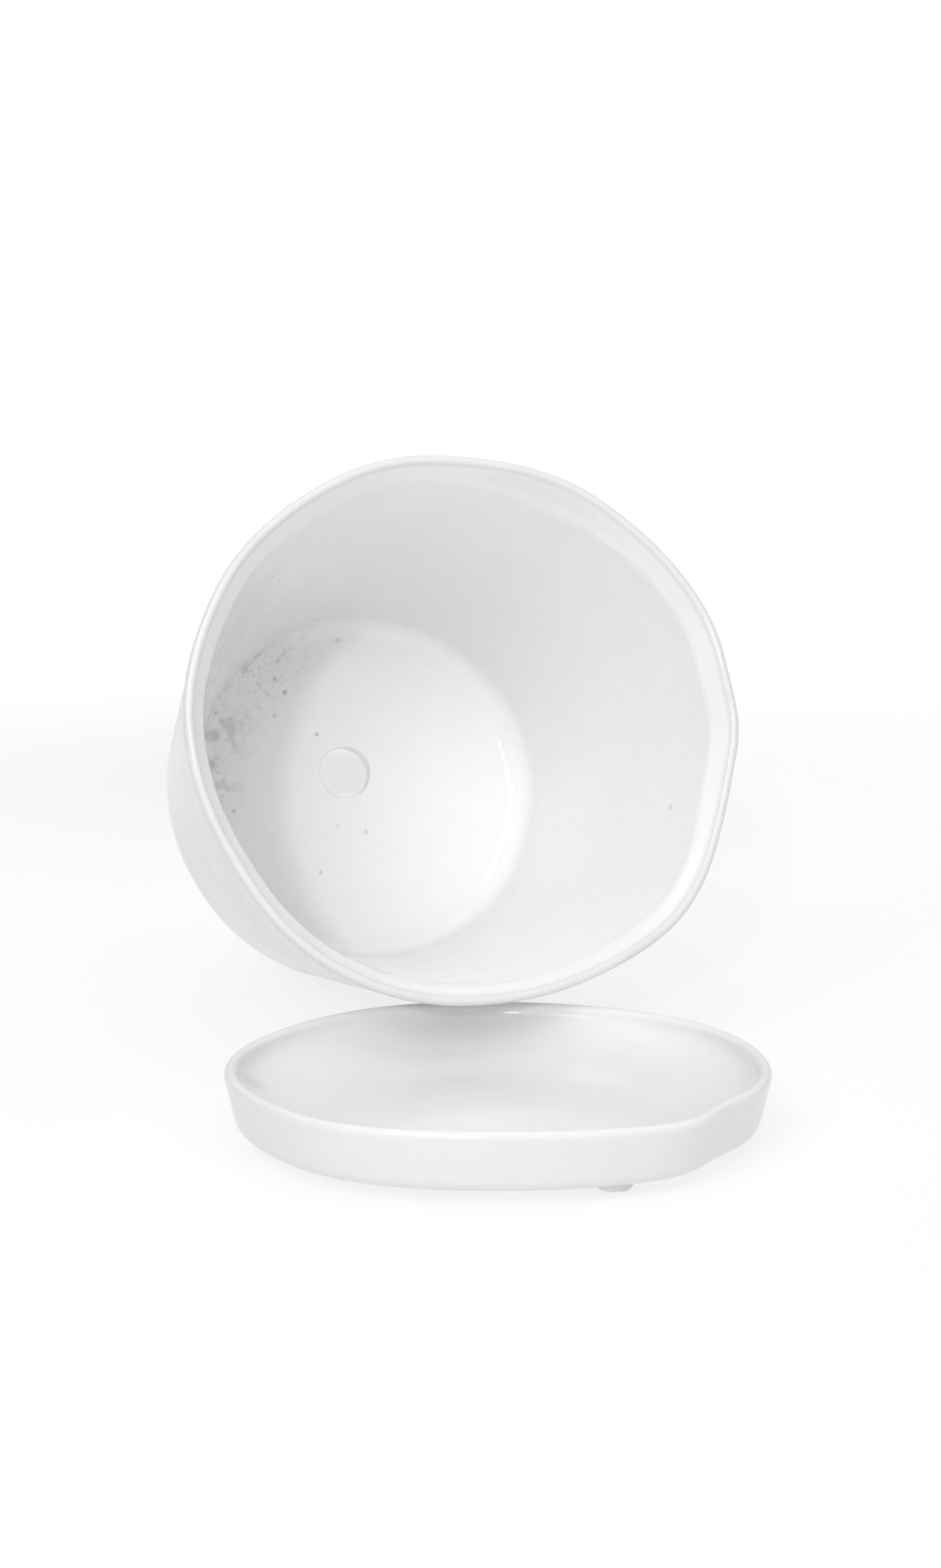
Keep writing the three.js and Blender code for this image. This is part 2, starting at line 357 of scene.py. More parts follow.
# %% The saucer's section
SAUCER_HEIGHT = 0.0149
SAUCER_LIP_ROUNDING = 0.0016
SAUCER_FLOOR = 0.0045
SAUCER_COVE_WIDTH = 0.028
SAUCER_BASE_ROUNDING = 0.004
SAUCER_INSIDE_RADIUS = 0.0642
FLOOR_RISE = 0.0003
FLOOR_RISE_SPREAD = 0.026
COVE_STEPS = 30

saucer_wall = Wall(0.0645, 0.0674, SAUCER_HEIGHT)
print("the saucer's wall leans out by", round(math.degrees(saucer_wall.lean), 1), "degrees")


def saucer_section():
    cove_top = SAUCER_HEIGHT - SAUCER_LIP_ROUNDING
    flat_radius = SAUCER_INSIDE_RADIUS - SAUCER_COVE_WIDTH
    base = base_points(saucer_wall, SAUCER_BASE_ROUNDING)
    lip_centre = (SAUCER_INSIDE_RADIUS + SAUCER_LIP_ROUNDING, cove_top)
    lip = arc(lip_centre, SAUCER_LIP_ROUNDING, -saucer_wall.lean, math.pi, LIP_STEPS)
    turns = [math.pi / 2 * (1 - i / COVE_STEPS) for i in range(1, COVE_STEPS + 1)]
    depth = cove_top - SAUCER_FLOOR
    cove = [
        (flat_radius + SAUCER_COVE_WIDTH * math.sin(turn), SAUCER_FLOOR + depth * (1 - math.cos(turn)))
        for turn in turns
    ]
    dish = cove + line((flat_radius, SAUCER_FLOOR), (0, SAUCER_FLOOR))[1:] + [(0, SAUCER_FLOOR)]
    dish = [(x, z + FLOOR_RISE * bell(x, FLOOR_RISE_SPREAD)) for x, z in dish]
    return [
        (line((0, 0), base[0]), 0, 0),
        (base + line(base[-1], lip[0])[1:], 0, 0),
        (lip, 0, 0),
        (dish, 0, 1),
    ]


# %% [markdown]
# ## Turning a section by hand
#
# Spin would turn a section into a perfect round, but these walls were pinched and smoothed by hand.
# So a Geometry Nodes tree does it by rule. A grid has one column for each step round and one row for
# each section point. Each grid point looks its section point up, is carried round by its column, and
# is pushed out or in by soft dents that grow towards the rim. The rim also rises and falls. A fine
# noise adds the last tenths of a millimetre that fingers leave. Where there is a drain hole, the
# points near it slide off the axis, and the slide fades out across the floor.

# %% Helpers for the tree
def add_input(tree, name, kind, value=None):
    socket = tree.interface.new_socket(name, in_out="INPUT", socket_type=kind)
    if value is not None:
        socket.default_value = value


def sum_of_bumps(tree, angle, bumps):
    """Soft bumps round a full turn: each has a direction and a spread in degrees, and a size."""
    total = None
    for direction, size, spread in bumps:
        away = angle.maths("WRAP", angle - math.radians(direction), math.pi, -math.pi)
        spreads = away / math.radians(spread)
        bump = (spreads * spreads * -1).of("EXPONENT") * size
        total = bump if total is None else total + bump
    return total


def store(tree, geometry, name, kind, value):
    """Keeps a value on every point of the geometry under a name, for the glaze to read."""
    return add_node(
        tree,
        "GeometryNodeStoreNamedAttribute",
        {"data_type": kind, "domain": "POINT"},
        {"Geometry": geometry, "Name": name, "Value": value},
    )


def finish_tree(tree, geometry, material):
    """Ends a tree: soft shading, real geometry for the export, and the piece's material."""
    real = add_node(tree, "GeometryNodeRealizeInstances", {}, {"Geometry": geometry})
    soft = add_node(tree, "GeometryNodeSetShadeSmooth", {}, {"Geometry": real, "Shade Smooth": True})
    coated = add_node(tree, "GeometryNodeSetMaterial", {}, {"Geometry": soft, "Material": material})
    leave = tree.nodes.new("NodeGroupOutput")
    tree.links.new(coated.socket, leave.inputs["Piece"])


# %% The sizes that the tree takes
SIZE_INPUTS = [
    "Wall height",
    "Base radius",
    "Rim radius",
    "Dent share at base",
    "Rim wave starts at",
    "Bevel depth",
    "Bevel change ends at",
    "Inner slope",
    "Hole radius",
    "Hole off centre",
    "Hole direction",
    "Slide ends at",
    "Finger marks",
    "Finger mark size",
]
print(len(SIZE_INPUTS), "sizes can be set on a hand-turned piece")


# %% A grid that carries the section round
def grid_of_section(tree, section, steps_around):
    """A grid with one row for each section point, and the column and row of each of its points."""
    rows = add_node(tree, "GeometryNodeAttributeDomainSize", {}, {"Geometry": section}, "Point Count")
    counts = {"Vertices X": steps_around + 1, "Vertices Y": rows}
    grid = add_node(tree, "GeometryNodeMeshGrid", {}, counts)
    index = add_node(tree, "GeometryNodeInputIndex")
    column = ((index + 0.5) / rows).of("FLOOR")
    return grid, column, index - column * rows


def read_section(tree, section, row, kind, value):
    """A value of the section point that each grid point stands for."""
    values = {"Geometry": section, "Value": value, "Index": row}
    return add_node(tree, "GeometryNodeSampleIndex", {"data_type": kind}, values)


def read_mark(tree, section, row, mark):
    """One of the marks that the section keeps on its points."""
    settings = {"data_type": "FLOAT"}
    named = add_node(tree, "GeometryNodeInputNamedAttribute", settings, {"Name": mark}, "Attribute")
    return read_section(tree, section, row, "FLOAT", named)


# %% What hands do to the wall
BEVEL_FADE = 0.1
LIP_KEEPS = 0.0015
BEVEL_CREASE = 0.0005
MARK_STRETCH = 0.6
MARK_DETAIL = 1.0
MARK_ROUGHNESS = 0.4
WALL_ZONE = (0.5, 0.9)
MARKS_BEGIN = (0.001, 0.012)


def bevel_drop(tree, entry, changes, angle, height, inside):
    """How far the bevel's lower edge is moved down, on the inner face only."""
    wall_height, depth = entry.output("Wall height"), entry.output("Bevel depth")
    bevel_foot = wall_height - depth
    above = height.smooth_step(bevel_foot + depth * BEVEL_FADE, wall_height - LIP_KEEPS, 1.0, 0.0)
    below = height.smooth_step(entry.output("Bevel change ends at"), bevel_foot - BEVEL_CREASE)
    return sum_of_bumps(tree, angle, changes) * above * below * inside


def finger_marks(tree, entry, across, along, height, radius, wall_radius):
    """A factor near 1 that presses soft marks into the wall, and leaves the floor flat."""
    stretched = {"X": across, "Y": along, "Z": height * MARK_STRETCH}
    place = add_node(tree, "ShaderNodeCombineXYZ", {}, stretched)
    per_metre = 1 / entry.output("Finger mark size")
    marks = add_node(
        tree,
        "ShaderNodeTexNoise",
        {"noise_dimensions": "3D"},
        {"Vector": place, "Scale": per_metre, "Detail": MARK_DETAIL, "Roughness": MARK_ROUGHNESS},
        "Fac",
    )
    starts, full = (wall_radius * share for share in WALL_ZONE)
    on_wall = radius.smooth_step(starts, full) * height.smooth_step(*MARKS_BEGIN)
    return 1 + (marks - 0.5) * entry.output("Finger marks") * on_wall / wall_radius


# %% The tree of a hand-turned piece
STEPS_AROUND = 288
SEAM_GAP = 0.00001


def hand_turned_tree(name, dents, waves, bevel_changes, share_by_height):
    """The tree: section in, hand-formed round piece out."""
    tree = bpy.data.node_groups.new(name, "GeometryNodeTree")
    add_input(tree, "Section", "NodeSocketGeometry")
    add_input(tree, "Steps around", "NodeSocketInt", STEPS_AROUND)
    for size in SIZE_INPUTS:
        add_input(tree, size, "NodeSocketFloat")
    add_input(tree, "Glaze", "NodeSocketMaterial")
    tree.interface.new_socket("Piece", in_out="OUTPUT", socket_type="NodeSocketGeometry")
    entry = add_node(tree, "NodeGroupInput")
    section, steps_around = entry.output("Section"), entry.output("Steps around")
    wall_height, base_radius = entry.output("Wall height"), entry.output("Base radius")

    grid, column, row = grid_of_section(tree, section, steps_around)
    position = add_node(tree, "GeometryNodeInputPosition")
    section_point = read_section(tree, section, row, "FLOAT_VECTOR", position)
    bare, inside = read_mark(tree, section, row, "bare"), read_mark(tree, section, row, "inside")
    profile = add_node(tree, "ShaderNodeSeparateXYZ", {}, {0: section_point})
    radius, height = profile.output("X"), profile.output("Z")
    angle = column / steps_around * (2 * math.pi)
    if bevel_changes:
        drop = bevel_drop(tree, entry, bevel_changes, angle, height, inside)
        height = height - drop
        radius = radius - drop * entry.output("Inner slope")

    wall_radius = base_radius + (entry.output("Rim radius") - base_radius) * height / wall_height
    least_share = entry.output("Dent share at base")
    dent_share = least_share + (1 - least_share) * share_by_height(height, wall_height)
    push = sum_of_bumps(tree, angle, dents) * dent_share
    reach = radius * (1 + push / wall_radius)
    across = reach * angle.of("COSINE")
    along = reach * angle.of("SINE")
    pressed = finger_marks(tree, entry, across, along, height, radius, wall_radius)
    rise_share = height.smooth_step(entry.output("Rim wave starts at"), wall_height)
    rise = sum_of_bumps(tree, angle, waves) * rise_share

    direction = entry.output("Hole direction")
    slide_share = radius.smooth_step(entry.output("Hole radius"), entry.output("Slide ends at"), 1.0, 0.0)
    slide = slide_share * entry.output("Hole off centre")
    shaped_axes = {
        "X": across * pressed + slide * direction.of("COSINE"),
        "Y": along * pressed + slide * direction.of("SINE"),
        "Z": height + rise,
    }
    shaped = add_node(tree, "ShaderNodeCombineXYZ", {}, shaped_axes)
    kept = store(tree, grid, "bare clay", "FLOAT", bare)
    kept = store(tree, kept, "inner face", "FLOAT", inside)
    kept = store(tree, kept, "upright", "FLOAT_VECTOR", shaped)
    turned = add_node(tree, "GeometryNodeSetPosition", {}, {"Geometry": kept, "Position": shaped})
    closed = add_node(tree, "GeometryNodeMergeByDistance", {}, {"Geometry": turned, "Distance": SEAM_GAP})
    finish_tree(tree, closed, entry.output("Glaze"))
    return tree


# %% [markdown]
# ## From a tree to a plain mesh
#
# A live modifier can't travel to the exported model, so each result is taken as a plain mesh and the
# modifier is removed. The mesh is then carried to its place, and its object stays at the origin. The
# count of open edges and the volume show whether the piece is closed and its faces point outwards.

# %% Taking the finished mesh
def take_mesh(name, start_mesh, tree, sizes, place):
    """Runs a tree on a start mesh and returns the result as a plain object, moved to its place."""
    piece = bpy.data.objects.new(name, start_mesh)
    scene.collection.objects.link(piece)
    shaper = piece.modifiers.new("shape", "NODES")
    shaper.node_group = tree
    for item in tree.interface.items_tree:
        if item.item_type == "SOCKET" and item.in_out == "INPUT" and item.name in sizes:
            shaper[item.identifier] = sizes[item.name]
    depsgraph = bpy.context.evaluated_depsgraph_get()
    finished = bpy.data.meshes.new_from_object(piece.evaluated_get(depsgraph))
    piece.modifiers.remove(shaper)
    finished.transform(place)
    finished.name = name
    piece.data = finished
    check = bmesh.new()
    check.from_mesh(finished)
    loose = sum(1 for edge in check.edges if not edge.is_manifold)
    print(name, len(check.faces), "faces,", loose, "open edges,", round(check.calc_volume() * 1e6, 1), "cm3")
    check.free()
    return piece


# %% [markdown]
# ## White speckled glaze
#
# The glaze is a milky white over stoneware, cool inside. Its outer face is given a darker, warmer colour,
# and the band over the lip a darker one: painted shade, so that these faces don't wash out against the white
# room. Iron in the clay melts through it as soft grey specks: some at random, more of them outside, and the
# few large ones each at its own place. They crowd together with greenish blotches where the glaze ran into
# the corner of the pot's floor. The glaze is glossy, but not a mirror: fired glaze has a faint unevenness.
# The foot ring is wiped clean and shows bare clay.

# %% Patterns for the glaze
MM = 0.001
SMALLEST_SPECK = 0.35
FAINTEST_SPECK = 0.3
SHAKE_SIZE = 0.8 * MM
SHAKE = 0.7 * MM
SPECK_EDGE = 0.85
SPECK_CORE = 0.3


def new_material(name):
    """A material with an empty node tree."""
    material = bpy.data.materials.new(name)
    material.use_nodes = True
    material.node_tree.nodes.clear()
    return material, material.node_tree


def stored(tree, name, output="Fac"):
    """A value that the piece keeps on its points."""
    settings = {"attribute_type": "GEOMETRY", "attribute_name": name}
    return add_node(tree, "ShaderNodeAttribute", settings, {}, output)


def noise(tree, place, size, detail=2.0, roughness=0.5, output="Fac"):
    """A soft random pattern from 0 to 1, with features of about this size."""
    return add_node(
        tree,
        "ShaderNodeTexNoise",
        {"noise_dimensions": "3D"},
        {"Vector": place, "Scale": 1 / size, "Detail": detail, "Roughness": roughness},
        output,
    )


def mix_colours(tree, share, first, second):
    return add_node(tree, "ShaderNodeMix", {"data_type": "RGBA"}, {"Factor": share, "A": first, "B": second})


print("glaze patterns are measured in thousandths of a metre:", MM, "m")


# %% Specks
def random_specks(tree, place, spacing, largest, chance, blur):
    """Round soft specks: some cells of a Voronoi pattern hold one, each with its own strength."""
    cells = add_node(
        tree,
        "ShaderNodeTexVoronoi",
        {"feature": "F1", "voronoi_dimensions": "3D"},
        {"Vector": place, "Scale": 1 / spacing, "Randomness": 1.0},
        "Distance",
    )
    dice = add_node(tree, "ShaderNodeSeparateColor", {}, {"Color": cells.output("Color")})
    size = (SMALLEST_SPECK + (1 - SMALLEST_SPECK) * dice.output("Red")) * (largest / spacing)
    present = (chance - dice.output("Green")).smooth_step(0.0, 0.02)
    strength = FAINTEST_SPECK + (1 - FAINTEST_SPECK) * dice.output("Blue") * dice.output("Blue")
    return (size - cells).smooth_step(-blur / spacing, blur / spacing) * present * strength


def chosen_specks(tree, place, specks):
    """Single soft specks. Each has its direction in degrees, distance from the axis, height, size
    and strength. A little noise on the place makes their outlines ragged."""
    shake = noise(tree, place, SHAKE_SIZE, output="Color")
    shaken = {0: shake, 1: (SHAKE,) * 3, 2: place}
    ragged = add_node(tree, "ShaderNodeVectorMath", {"operation": "MULTIPLY_ADD"}, shaken)
    total = None
    for direction, distance, height, size, strength in specks:
        turn = math.radians(direction)
        centre = (distance * math.cos(turn), distance * math.sin(turn), height)
        ends = {0: ragged, 1: centre}
        away = add_node(tree, "ShaderNodeVectorMath", {"operation": "DISTANCE"}, ends, "Value")
        speck = away.smooth_step(SPECK_EDGE * size, SPECK_CORE * size, 0.0, strength)
        total = speck if total is None else total.larger(speck)
    return total


print("the smallest scattered speck is", SMALLEST_SPECK, "of the largest")

# %% [markdown]
# ## Where the glaze changes
#
# Places on the pot are found from its upright shape. The corner is the part of the floor's edge that
# lay lowest in the kiln. The fillet is the whole ring between floor and wall. The lip is a band at the
# top. The drips are upright streaks on the outside. The combed part is the inside just below the mouth
# on one side, where a dry tool has left fine lines round the wall.

# %% Masks for parts of a piece
CORNER_DIRECTION = math.radians(150)
CORNER_SPREAD = math.radians(52)
CORNER_RADII = (31 * MM, 47 * MM)
CORNER_HEIGHTS = (26 * MM, 12 * MM)
SECTOR_CORE = 0.4
LIP_BAND = (9 * MM, 4 * MM)
FILLET_TOP = (18 * MM, 12 * MM)
FILLET_FOOT = (6.9 * MM, 9.5 * MM)
DRIP_SIZE = 14 * MM
DRIP_STRETCH = 0.25
COMB_DIRECTION = math.radians(-92)
COMB_SPREAD = math.radians(36)
COMB_SPACING = 1.3 * MM
COMB_FADES = (45 * MM, 20 * MM)
COMB_STOPS = (6 * MM, 11 * MM)


class UprightPlaces:
    """Masks from 0 to 1 for parts of a round piece, worked out from its place when upright."""

    def __init__(self, tree, place, height):
        axes = add_node(tree, "ShaderNodeSeparateXYZ", {}, {0: place})
        self.tree = tree
        self.x, self.y, self.z = axes.output("X"), axes.output("Y"), axes.output("Z")
        self.distance = (self.x * self.x + self.y * self.y).of("SQRT")
        self.height = height

    def place(self, x, y, z):
        return add_node(self.tree, "ShaderNodeCombineXYZ", {}, {"X": x, "Y": y, "Z": z})

    def below_rim(self, start, end):
        """Goes from 0 to 1 between two depths under the rim."""
        return self.z.smooth_step(self.height - start, self.height - end)

    def sector(self, direction, spread):
        towards = (self.x * math.cos(direction) + self.y * math.sin(direction)) / self.distance
        return towards.smooth_step(math.cos(spread), math.cos(SECTOR_CORE * spread))

    def corner(self):
        near_edge = self.distance.smooth_step(*CORNER_RADII) * self.z.smooth_step(*CORNER_HEIGHTS)
        return self.sector(CORNER_DIRECTION, CORNER_SPREAD) * near_edge

    def lip(self):
        return self.below_rim(*LIP_BAND)

    def fillet(self):
        """The ring where floor and wall meet, which gets a painted light ring."""
        return self.z.smooth_step(*FILLET_TOP) * self.z.smooth_step(*FILLET_FOOT)

    def drips(self):
        """Soft upright streaks, where the glaze ran down the wall while it was wet."""
        return noise(self.tree, self.place(self.x, self.y, self.z * DRIP_STRETCH), DRIP_SIZE, 3.0)

    def combed(self):
        """Fine broken lines round the wall, with a mask that fades them out."""
        along = self.place(self.x * 0.12, self.z, self.distance * 0.1)
        lines = noise(self.tree, along, COMB_SPACING, 1.0).smooth_step(0.5, 0.72)
        band = self.below_rim(*COMB_FADES) * self.below_rim(*COMB_STOPS)
        return lines * band * self.sector(COMB_DIRECTION, COMB_SPREAD)


print("the corner is at", round(math.degrees(CORNER_DIRECTION)), "degrees round the pot")

# %% [markdown]
# ## The glaze itself
#
# One function makes both glazes, because pot and saucer were dipped in the same bucket. Colours are
# mixed from the ground up: milk, pools, mottle, blotches, specks, and last the bare clay.

# %% Patterns of one glaze
POOL_SIZE = 35 * MM
MOTTLE_SIZE = 4 * MM
BLOTCH_SIZE = 5 * MM
PEPPER_SIZE = 1.2 * MM
RIPPLE_SIZE = 9 * MM
GRAIN_SIZE = 0.4 * MM
SPOT_SPACING = 11 * MM
LARGEST_SPOT = 0.9 * MM
SPOT_BLUR = 0.45 * MM
PINPRICK_SPACING = 3.4 * MM
LARGEST_PINPRICK = 0.45 * MM
PINPRICK_BLUR = 0.25 * MM
OUTER_SPECKLE = 0.16


class GlazePatterns:
    """The patterns that a glaze is mixed from. Kiln marks is 1 on a piece that shows the corner, the
    combed part and the drips, and 0 on one that doesn't."""

    def __init__(self, tree, height, kiln_marks, speckle, specks, patches):
        place = stored(tree, "upright", "Vector")
        parts = UprightPlaces(tree, place, height)
        self.bare, self.inner = stored(tree, "bare clay"), stored(tree, "inner face")
        self.lip = parts.lip()
        self.corner = parts.corner() * self.inner * kiln_marks
        self.combed = parts.combed() * self.inner * kiln_marks
        self.fillet = parts.fillet() * self.inner * kiln_marks
        self.drips = (parts.drips() * kiln_marks).smooth_step(0.45, 0.75)
        self.pools = noise(tree, place, POOL_SIZE, 3.0, 0.55).smooth_step(0.3, 0.7)
        self.mottle = noise(tree, place, MOTTLE_SIZE)
        self.ripple = noise(tree, place, RIPPLE_SIZE, 1.5)
        self.grain = noise(tree, place, GRAIN_SIZE, 2.0, 0.6)

        outer = (1 - self.inner) * OUTER_SPECKLE
        spot_chance = speckle + outer + self.corner * 0.5
        pinprick_chance = speckle * 0.5 + outer * 0.3 + self.corner * 0.4
        self.spots = random_specks(tree, place, SPOT_SPACING, LARGEST_SPOT, spot_chance, SPOT_BLUR)
        pinpricks = random_specks(
            tree, place, PINPRICK_SPACING, LARGEST_PINPRICK, pinprick_chance, PINPRICK_BLUR
        )
        pepper = noise(tree, place, PEPPER_SIZE, 2.0, 0.7).smooth_step(0.52, 0.7) * self.corner * 0.22
        blotches = noise(tree, place, BLOTCH_SIZE, 3.0, 0.6).smooth_step(0.50, 0.68) * self.corner * 0.6
        self.greenish_patches = blotches.larger(chosen_specks(tree, place, patches))
        marks = (self.spots * 0.35).larger(pinpricks * 0.35).larger(pepper)
        self.marks = marks.larger(chosen_specks(tree, place, specks)).larger(self.combed * 0.10)


print("glaze pools are", round(POOL_SIZE / MM), "mm across and mottles", round(MOTTLE_SIZE / MM), "mm")

# %% Glaze material
SPECK_GREY = (0.20, 0.205, 0.195, 1)
GREENISH_PATCH = (0.50, 0.535, 0.51, 1)
THIN_GLAZE = (0.62, 0.66, 0.635, 1)
# Near-white painted light for the ring where the pot's floor meets its wall.
FILLET_PAINTED_LIGHT = (0.975, 0.975, 0.98, 1)
WARM_THIN_GLAZE = (0.66, 0.632, 0.60, 1)
BARE_CLAY = (0.62, 0.56, 0.48, 1)
GLAZE_IOR = 1.5
GLOSS_ROUGHNESS = 0.09
CLAY_ROUGHNESS = 0.75
BUMP_STRENGTH = 0.35
BUMP_DEPTH = 0.5 * MM


def glaze_colour(tree, found, milk, shade, outside, lip_painted_shade):
    """Mixes the colour from the ground up."""
    body = mix_colours(tree, found.pools, milk, shade)
    # Painted shade: the band over the lip gets a darker colour than the milk.
    body = mix_colours(tree, found.lip, body, lip_painted_shade)
    # Painted shade: the outer face gets a darker colour than the inside, with warm drip streaks over it.
    outer_painted_shade_and_drips = mix_colours(tree, found.drips * 0.25, outside, WARM_THIN_GLAZE)
    body = mix_colours(tree, found.inner, outer_painted_shade_and_drips, body)
    # Painted light: the ring between floor and wall inside the pot is given a near-white colour, as if lit.
    body = mix_colours(tree, found.fillet * (1 - found.corner), body, FILLET_PAINTED_LIGHT)
    body = mix_colours(tree, found.mottle.smooth_step(0.4, 0.75) * 0.05, body, THIN_GLAZE)
    body = mix_colours(tree, found.corner * 0.15, body, THIN_GLAZE)
    body = mix_colours(tree, found.greenish_patches, body, GREENISH_PATCH)
    speckled = mix_colours(tree, found.marks, body, SPECK_GREY)
    return mix_colours(tree, found.bare, speckled, BARE_CLAY)


def glaze_roughness(found):
    """Glossy, a little duller where the glaze mottles, has spots or greenish patches, or was combed, and
    rough on bare clay.
    """
    shine = GLOSS_ROUGHNESS + 0.05 * found.mottle.smooth_step(0.3, 0.8)
    shine = shine + found.spots * 0.1 + found.greenish_patches * 0.2 + found.combed * 0.1
    return shine + (CLAY_ROUGHNESS - shine) * found.bare


def glaze_relief(found):
    """Slow ripples in the glaze, grain on bare clay, and small dips at spots and combed lines."""
    return found.ripple * 0.05 + found.grain * found.bare * 0.10 - found.spots * 0.02 - found.combed * 0.03


def glaze_material(name, milk, shade, outside, lip_painted_shade, **places):
    """Milky glaze, darker outside and over the lip as painted shade, with specks and greenish patches."""
    material, tree = new_material(name)
    found = GlazePatterns(tree, **places)
    height = {"Strength": BUMP_STRENGTH, "Distance": BUMP_DEPTH, "Height": glaze_relief(found)}
    finish = {
        "Base Color": glaze_colour(tree, found, milk, shade, outside, lip_painted_shade),
        "Roughness": glaze_roughness(found),
        "Normal": add_node(tree, "ShaderNodeBump", {}, height),
        "IOR": GLAZE_IOR,
    }
    shader = add_node(tree, "ShaderNodeBsdfPrincipled", {}, finish)
    add_node(tree, "ShaderNodeOutputMaterial", {}, {"Surface": shader})
    print(name, len(tree.nodes), "nodes")
    return material

# %% The pot's glaze
POT_SPECKS = [
    (124, 37 * MM, 7 * MM, 1.3 * MM, 0.55),
    (124, 42 * MM, 7 * MM, 1.2 * MM, 0.4),
    (136, 34 * MM, 7 * MM, 1.2 * MM, 0.35),
    (119, 46 * MM, 8 * MM, 1.3 * MM, 0.35),
    (124, 21 * MM, 7 * MM, 1.2 * MM, 0.5),
    (151, 55 * MM, 39 * MM, 1.2 * MM, 0.35),
    (126, 62 * MM, 84 * MM, 0.9 * MM, 0.75),
    (160, 68 * MM, 121 * MM, 0.8 * MM, 0.6),
    (-85, 13 * MM, 7 * MM, 1.2 * MM, 0.3),
    (-125, 13 * MM, 7 * MM, 1.1 * MM, 0.25),
    (-173, 39 * MM, 7 * MM, 1.2 * MM, 0.4),
    (-119, 28 * MM, 7 * MM, 1.2 * MM, 0.28),
    (-135, 42 * MM, 7 * MM, 1.5 * MM, 0.4),
    (-82, 65 * MM, 105 * MM, 0.9 * MM, 0.6),
    (-69, 65 * MM, 105 * MM, 0.8 * MM, 0.45),
    (-35, 76 * MM, 133 * MM, 1.3 * MM, 0.35),
    (178, 72 * MM, 108 * MM, 1.0 * MM, 0.5),
]
POT_PATCHES = [
    (157, 47 * MM, 8 * MM, 2.8 * MM, 0.7),
    (168, 46 * MM, 7 * MM, 3.0 * MM, 0.7),
    (94, 46 * MM, 8 * MM, 1.6 * MM, 0.4),
    (104, 52 * MM, 19 * MM, 1.6 * MM, 0.35),
]
pot_glaze = glaze_material(
    "speckled white glaze",
    milk=(0.902, 0.896, 0.898, 1),
    shade=(0.888, 0.889, 0.895, 1),
    # The outer face and the lip band are darker than the milk inside: painted shade.
    outside=(0.75, 0.742, 0.74, 1),
    lip_painted_shade=(0.87, 0.863, 0.864, 1),
    height=POT_HEIGHT,
    speckle=0.06,
    specks=POT_SPECKS,
    patches=POT_PATCHES,
    kiln_marks=1,
)

# %% The saucer's glaze
SAUCER_SPECKS = [
    (136, 48 * MM, 7 * MM, 0.7 * MM, 0.25),
    (172, 53 * MM, 9 * MM, 0.8 * MM, 0.2),
]
# Soft greyish-green patches that darken the saucer's inner wall at these places.
SAUCER_PATCHES = [
    (177, 60 * MM, 10 * MM, 6.0 * MM, 0.3),
    (4, 62 * MM, 11 * MM, 2.5 * MM, 0.2),
]
saucer_glaze = glaze_material(
    "white saucer glaze",
    milk=(0.875, 0.873, 0.88, 1),
    shade=(0.86, 0.863, 0.875, 1),
    outside=(0.87, 0.86, 0.862, 1),
    lip_painted_shade=(0.87, 0.865, 0.868, 1),
    height=SAUCER_HEIGHT,
    speckle=0.05,
    specks=SAUCER_SPECKS,
    patches=SAUCER_PATCHES,
    kiln_marks=0,
)

# %% [markdown]
# ## The pot
#
# The dents are few and broad, as thumbs leave them: each has its direction round the pot in degrees,
# its size at the rim, and how many degrees it spreads over. They match the frame's pot, so the piece
# fills the same space. The rim's waves and the bevel's changes are given in the same way.

# %% Make the pot
POT_DENTS = [
    (-152, -1.4 * MM, 18),
    (-85, -0.9 * MM, 14),
    (-42, 2.5 * MM, 16),
    (-2, 1.5 * MM, 9),
    (20, 0.8 * MM, 9),
    (48, -0.9 * MM, 12),
    (80, -2.2 * MM, 26),
    (122, -0.6 * MM, 12),
    (172, 0.6 * MM, 12),
]
POT_RIM_WAVES = [
    (-60, 0.8 * MM, 20),
    (-22, -0.7 * MM, 12),
    (12, 0.7 * MM, 10),
    (100, -0.6 * MM, 25),
    (170, 0.8 * MM, 20),
]
POT_BEVEL_CHANGES = [
    (64, 5 * MM, 15),
    (-35, -2 * MM, 18),
    (-95, -1.5 * MM, 25),
]
pot_tree = hand_turned_tree(
    "hand-turned pot",
    POT_DENTS,
    POT_RIM_WAVES,
    POT_BEVEL_CHANGES,
    lambda z, height: z.smooth_step(0.0, height),
)
pot = take_mesh(
    "pot_fine",
    section_mesh("pot section", pot_section()),
    pot_tree,
    {
        "Wall height": POT_HEIGHT,
        "Base radius": pot_wall.low,
        "Rim radius": pot_wall.high,
        "Dent share at base": 0.4,
        "Rim wave starts at": POT_HEIGHT / 2,
        "Bevel depth": LIP_BEVEL_DEPTH,
        "Bevel change ends at": POT_HEIGHT - 0.036,
        "Inner slope": pot_inside.slope,
        "Hole radius": HOLE_RADIUS,
        "Hole off centre": 0.0068,
        "Hole direction": math.radians(128),
        "Slide ends at": 0.042,
        "Finger marks": 0.0008,
        "Finger mark size": 0.025,
        "Glaze": pot_glaze,
    },
    pot_place,
)
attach(pot, "pot")
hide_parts("pot")

# %% [markdown]
# ## The saucer
#
# The same tree turns the saucer, with its own dents. They go almost straight down the short wall, so
# its outside shows soft upright facets.

